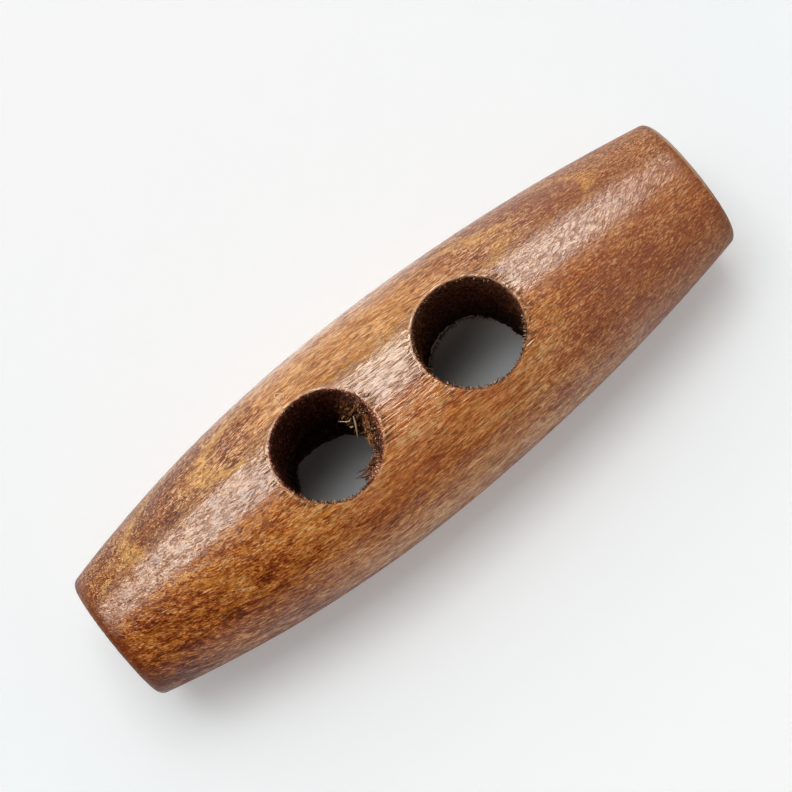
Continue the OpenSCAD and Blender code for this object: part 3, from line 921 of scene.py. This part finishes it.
# raised grain beside the lips, where the cut runs out along the bar
for h, hx in enumerate(HOLES):
    for sgn in (1, -1):
        for _ in range(70 if (h, sgn) == (1, 1) else 30):
            th = rng.uniform(-1.0, 0.30) if rng.rand() < 0.85 else rng.uniform(0.30, 0.62)
            x0 = hx + sgn * (BORE_R + rng.uniform(0.04, 0.30)) * math.cos(th)
            y0 = (BORE_R + 0.06) * math.sin(th)
            ln = rng.uniform(0.15, 0.62)
            xs_ = x0 + sgn * np.linspace(0, ln, 5)
            ys_ = y0 + np.linspace(0, 1, 5) * rng.normal() * 0.05
            zs_ = np.sqrt(radius(xs_) ** 2 - ys_ ** 2) + 0.012 + 0.02 * np.sin(np.linspace(0, 3.1, 5))
            torn.add(np.stack([xs_, ys_, zs_], 1), rng.uniform(0.014, 0.032), rng.uniform(0.10, 0.38) if rng.rand() < 0.5 else rng.uniform(0.50, 0.92), 0.7)
xs_ = np.linspace(6.88, 7.46, 6)
ys_ = np.array([-2.47, -2.475, -2.47, -2.46, -2.44, -2.42])
torn.add(np.stack([xs_, ys_, np.sqrt(radius(xs_) ** 2 - ys_ ** 2) + 0.05], 1), 0.055, 0.95, 0.5)
# one loose hair that loops out of hole A
torn.add([(-5.15, 2.92, 5.30), (-5.16, 3.10, 5.36), (-5.14, 3.35, 5.26), (-5.14, 3.76, 5.00), (-5.09, 4.04, 4.80), (-4.98, 4.10, 4.78),
          (-4.88, 4.03, 4.85), (-4.76, 3.93, 4.98), (-4.69, 3.79, 5.10), (-4.66, 3.66, 5.22), (-4.71, 3.56, 5.30), (-4.87, 3.61, 5.28),
          (-5.03, 3.77, 5.18)], 0.024, 1.0, 0.9, 0.5)
fibres = torn.mesh("torn_fibres")
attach(fibres, "root")


def fibre_stuff(name):
    m = Nodes(name)
    pale = m.attr("pale")
    co = m.vec("MULTIPLY", m.new("ShaderNodeTexCoord").outputs["Object"], (1000, 1000, 1000))
    grain = m.noise(m.vec("MULTIPLY", co, (9, 14, 14)), 1, 2, 0.7)
    t = m.math("MULTIPLY_ADD", m.math("SUBTRACT", grain, 0.5), 0.35, pale)
    col = m.ramp(t, [(0.0, rgb(44, 20, 12)), (0.25, rgb(94, 46, 24)), (0.5, rgb(160, 90, 38)), (0.75, rgb(216, 146, 74)), (1.0, rgb(254, 226, 184))])
    bsdf = m.new("ShaderNodeBsdfPrincipled")
    m.put(bsdf.inputs["Base Color"], col)
    bsdf.inputs["Roughness"].default_value = 0.45
    bsdf.inputs["Coat Weight"].default_value = 0.05
    bsdf.inputs["Specular IOR Level"].default_value = 0.15
    bsdf.inputs["Coat Roughness"].default_value = 0.25
    out = m.new("ShaderNodeOutputMaterial")
    m.nt.links.new(bsdf.outputs[0], out.inputs["Surface"])
    return m.mat


fibres.data.materials.append(fibre_stuff("raw_wood_fibre"))

# ---------------------------------------------------------------- stage
floor_mesh = bpy.data.meshes.new("floor")
w = 6.0
zf = -BELLY_R * MM
floor_mesh.from_pydata([(-w, -w, zf), (w, -w, zf), (w, w, zf), (-w, w, zf)], [], [(0, 1, 2, 3)])
floor = bpy.data.objects.new("floor", floor_mesh)
bpy.context.scene.collection.objects.link(floor)
fm = Nodes("studio_paper")
fb = fm.new("ShaderNodeBsdfPrincipled")
fb.inputs["Roughness"].default_value = 0.9
fb.inputs["Specular IOR Level"].default_value = 0.1
# the paper glows a little to the camera, as paper lit from all round does, but not down the holes
fpos = fm.vec("MULTIPLY", fm.new("ShaderNodeTexCoord").outputs["Object"], (1000, 1000, 0))
clear = None
for hx in HOLES:
    away = fm.span(fm.vec("DISTANCE", fpos, (hx, 0, 0)), 3.6, 4.9, 0, 1)
    clear = away if clear is None else fm.math("MULTIPLY", clear, away)
# only where the paper is seen down through the holes, not from beside the bar
steep = fm.span(fm.vec("DOT_PRODUCT", fm.new("ShaderNodeNewGeometry").outputs["Incoming"], (0, 0, 1)), 0.80, 0.93)
clear = fm.math("SUBTRACT", 1.0, fm.math("MULTIPLY", steep, fm.math("SUBTRACT", 1.0, clear)))
glow = fm.math("MULTIPLY", fm.new("ShaderNodeLightPath").outputs["Is Camera Ray"], clear)
fb.inputs["Emission Color"].default_value = (1, 1, 1, 1)
# painted shade: the paper is darkened and warmed under each hole, most of all on the +Y side, where little light finds
# its way down the holes
paper = (0.875, 0.882, 0.885, 1)
for hx in HOLES:
    q = fm.vec("DOT_PRODUCT", fm.vec("SUBTRACT", fpos, (hx, 0, 0)), (-0.25, 1.0, 0.0))
    dim = fm.span(q, -1.3, 2.6, 1.0, 0.15)
    inside = fm.span(fm.vec("DISTANCE", fpos, (hx, 0, 0)), 3.3, 4.2, 1, 0)
    dim = fm.math("MULTIPLY_ADD", fm.math("MULTIPLY", inside, steep), fm.math("SUBTRACT", dim, 1.0), 1.0)
    tint = fm.new("ShaderNodeCombineXYZ")
    fm.put(tint.inputs[0], dim)
    fm.put(tint.inputs[1], fm.math("POWER", dim, 1.07))
    fm.put(tint.inputs[2], fm.math("POWER", dim, 1.12))
    paper = fm.vec("MULTIPLY", tint.outputs[0], paper[:3] if isinstance(paper, tuple) else paper)
# painted light: the paper is a touch cooler close to the bar, against the bar's warm bounce light, and a touch brighter
# on the -Y side, where the bar's shadow falls, than on the +Y side
fy = fm.new("ShaderNodeSeparateXYZ")
fm.put(fy.inputs[0], fpos)
beside = fm.span(fm.math("ABSOLUTE", fy.outputs[1]), 30.0, 7.0, 0, 1)
level = fm.span(fy.outputs[1], -22.0, 22.0, 1.03, 0.970)
tint = fm.new("ShaderNodeCombineXYZ")
fm.put(tint.inputs[0], fm.math("MULTIPLY", level, fm.math("MULTIPLY_ADD", beside, -0.034, 1.0)))
fm.put(tint.inputs[1], level)
fm.put(tint.inputs[2], fm.math("MULTIPLY", level, fm.math("MULTIPLY_ADD", beside, 0.004, 1.0)))
paper = fm.vec("MULTIPLY", tint.outputs[0], paper)
# and a faint tooth
tooth = fm.noise(fm.vec("MULTIPLY", fpos, (0.9, 0.9, 0.9)), 1, 4, 0.75)
paper = fm.vec("MULTIPLY", paper, fm.math("MULTIPLY_ADD", fm.math("SUBTRACT", tooth, 0.5), 0.05, 1.0))
fm.put(fb.inputs["Base Color"], paper)
# and the paper glows to glossy rays, strongly on the +Y side and dimly on the -Y side, so the lacquer of the +Y flank
# sees it brightly lit: a painted reflection
mirrored = fm.math("MULTIPLY", fm.new("ShaderNodeLightPath").outputs["Is Glossy Ray"], fm.math("MULTIPLY", fm.span(fy.outputs[1], 7.0, 12.0), fm.span(fm.math("ABSOLUTE", fy.outputs[0]), 10.0, 3.0, 0.20, 0.76)))
mirrored = fm.math("ADD", mirrored, fm.math("MULTIPLY", fm.new("ShaderNodeLightPath").outputs["Is Glossy Ray"], fm.span(fy.outputs[1], -7.0, -14.0, 0.0, 0.20)))
# far from the lamps the paper keeps its brightness to the camera
away2 = fm.math("POWER", fm.math("DIVIDE", fm.vec("LENGTH", fpos), 800.0), 2.0)
fading = fm.math("SUBTRACT", 1.0, fm.math("POWER", fm.math("ADD", away2, 1.0), -2.0))
backdrop = fm.math("MULTIPLY", fm.math("MULTIPLY", fading, 0.52), fm.new("ShaderNodeLightPath").outputs["Is Camera Ray"])
fm.put(fb.inputs["Emission Strength"], fm.math("ADD", fm.math("MULTIPLY_ADD", glow, 0.225, mirrored), backdrop))
fo = fm.new("ShaderNodeOutputMaterial")
fm.nt.links.new(fb.outputs[0], fo.inputs["Surface"])
floor.data.materials.append(fm.mat)

# key softbox, up and to the +Y side, long enough to streak the whole bar
def softbox(name, direction, distance, size_x, size_y, radiance, colour=(1, 1, 1)):
    d = Vector(direction).normalized()
    light = bpy.data.lights.new(name, "AREA")
    light.shape = "RECTANGLE"
    light.size, light.size_y = size_x, size_y
    # an area light's radiance is its power over area and pi
    light.energy = radiance * math.pi * size_x * size_y
    light.color = colour
    ob = bpy.data.objects.new(name, light)
    bpy.context.scene.collection.objects.link(ob)
    ob.location = d * distance
    zaxis = d
    xaxis = Vector((1, 0, 0)) - d * d.x
    xaxis.normalize()
    yaxis = zaxis.cross(xaxis)
    ob.rotation_mode = "QUATERNION"
    ob.rotation_quaternion = Matrix((xaxis, yaxis, zaxis)).transposed().to_quaternion()
    return ob


KEY = math.radians(31)
gloss = softbox("key_sheen", (-0.02, math.sin(KEY), math.cos(KEY)), 0.60, 0.82, 0.49, 12.4, (0.975, 1.0, 0.93))
gloss.visible_diffuse = False
# a low white card on the +Y side, seen only in the lacquer
card = softbox("side_card", (0.0, math.sin(math.radians(84)), math.cos(math.radians(84))), 0.80, 2.4, 0.30, 0.07)
card.visible_diffuse = False
card = softbox("side_card_middle", (0.0, math.sin(math.radians(82)), math.cos(math.radians(82))), 0.79, 0.50, 0.34, 1.9)
card.visible_diffuse = False
# and a dim one across the -Y side, towards end B
card = softbox("fill_card", (0.42, -math.sin(math.radians(54)), math.cos(math.radians(54))), 0.80, 0.95, 0.85, 0.50)
card.visible_diffuse = False
# the lights that shape the bar and its shadow, high on the +Y side, and wide tents round them
for name, lean, distance, sx, sy, radiance in (
        ("key_high", 12, 0.80, 0.50, 0.34, 4.06),
        ("key_lean", 22, 0.80, 0.50, 0.34, 1.57),
        ("tent_high", 30, 0.90, 1.8, 1.2, 0.27),
        ("tent_low", 55, 0.90, 1.8, 1.2, 0.25)):
    a_ = math.radians(lean)
    lamp = softbox(name, (0.0, math.sin(a_), math.cos(a_)), distance, sx, sy, radiance)
    lamp.visible_glossy = False

world = bpy.data.worlds.new("studio")
bpy.context.scene.world = world
world.use_nodes = True
wn = world.node_tree
wn.nodes.clear()
bg = wn.nodes.new("ShaderNodeBackground")
bg.inputs["Color"].default_value = (1.0, 1.0, 1.0, 1)
bg.inputs["Strength"].default_value = 0.21
bg2 = wn.nodes.new("ShaderNodeBackground")
bg2.inputs["Color"].default_value = (0.93, 0.93, 0.935, 1)
bg2.inputs["Strength"].default_value = 0.98
lp = wn.nodes.new("ShaderNodeLightPath")
mx = wn.nodes.new("ShaderNodeMixShader")
wo = wn.nodes.new("ShaderNodeOutputWorld")
wn.links.new(lp.outputs["Is Camera Ray"], mx.inputs[0])
wn.links.new(bg.outputs[0], mx.inputs[1])
wn.links.new(bg2.outputs[0], mx.inputs[2])
wn.links.new(mx.outputs[0], wo.inputs["Surface"])
world.cycles_visibility.glossy = False

scene = bpy.context.scene
scene.view_settings.view_transform = "Standard"
scene.view_settings.look = "None"
scene.cycles.denoising_prefilter = "NONE"

# ---------------------------------------------------------------- camera: looking down on the bar, a little from the -Y side
phi, alpha, rho = (math.radians(v) for v in (38.708, -1.87, -11.074))
unit = 2 * HALF / 734.9                     # mm across one pixel at the bar's distance
dist = 2866.4 * unit
rz = Matrix.Rotation(phi, 3, "Z")
ry = Matrix(((math.cos(alpha), 0, -math.sin(alpha)), (0, 1, 0), (math.sin(alpha), 0, math.cos(alpha))))
rx = Matrix.Rotation(rho, 3, "X")
turn = rz @ ry @ rx
offset = Vector(((404.42 - 396) * unit, -(409.07 - 396) * unit, -dist)) * MM
cam_data = bpy.data.cameras.new("camera")
cam_data.sensor_width = 36.0
cam_data.lens = 36.0 * 2866.4 / 792
cam_data.clip_start = 0.001
cam_data.clip_end = 50
cam = bpy.data.objects.new("camera", cam_data)
scene.collection.objects.link(cam)
cam.matrix_world = Matrix.Translation(-(turn.transposed() @ offset)) @ turn.transposed().to_4x4()
scene.camera = cam
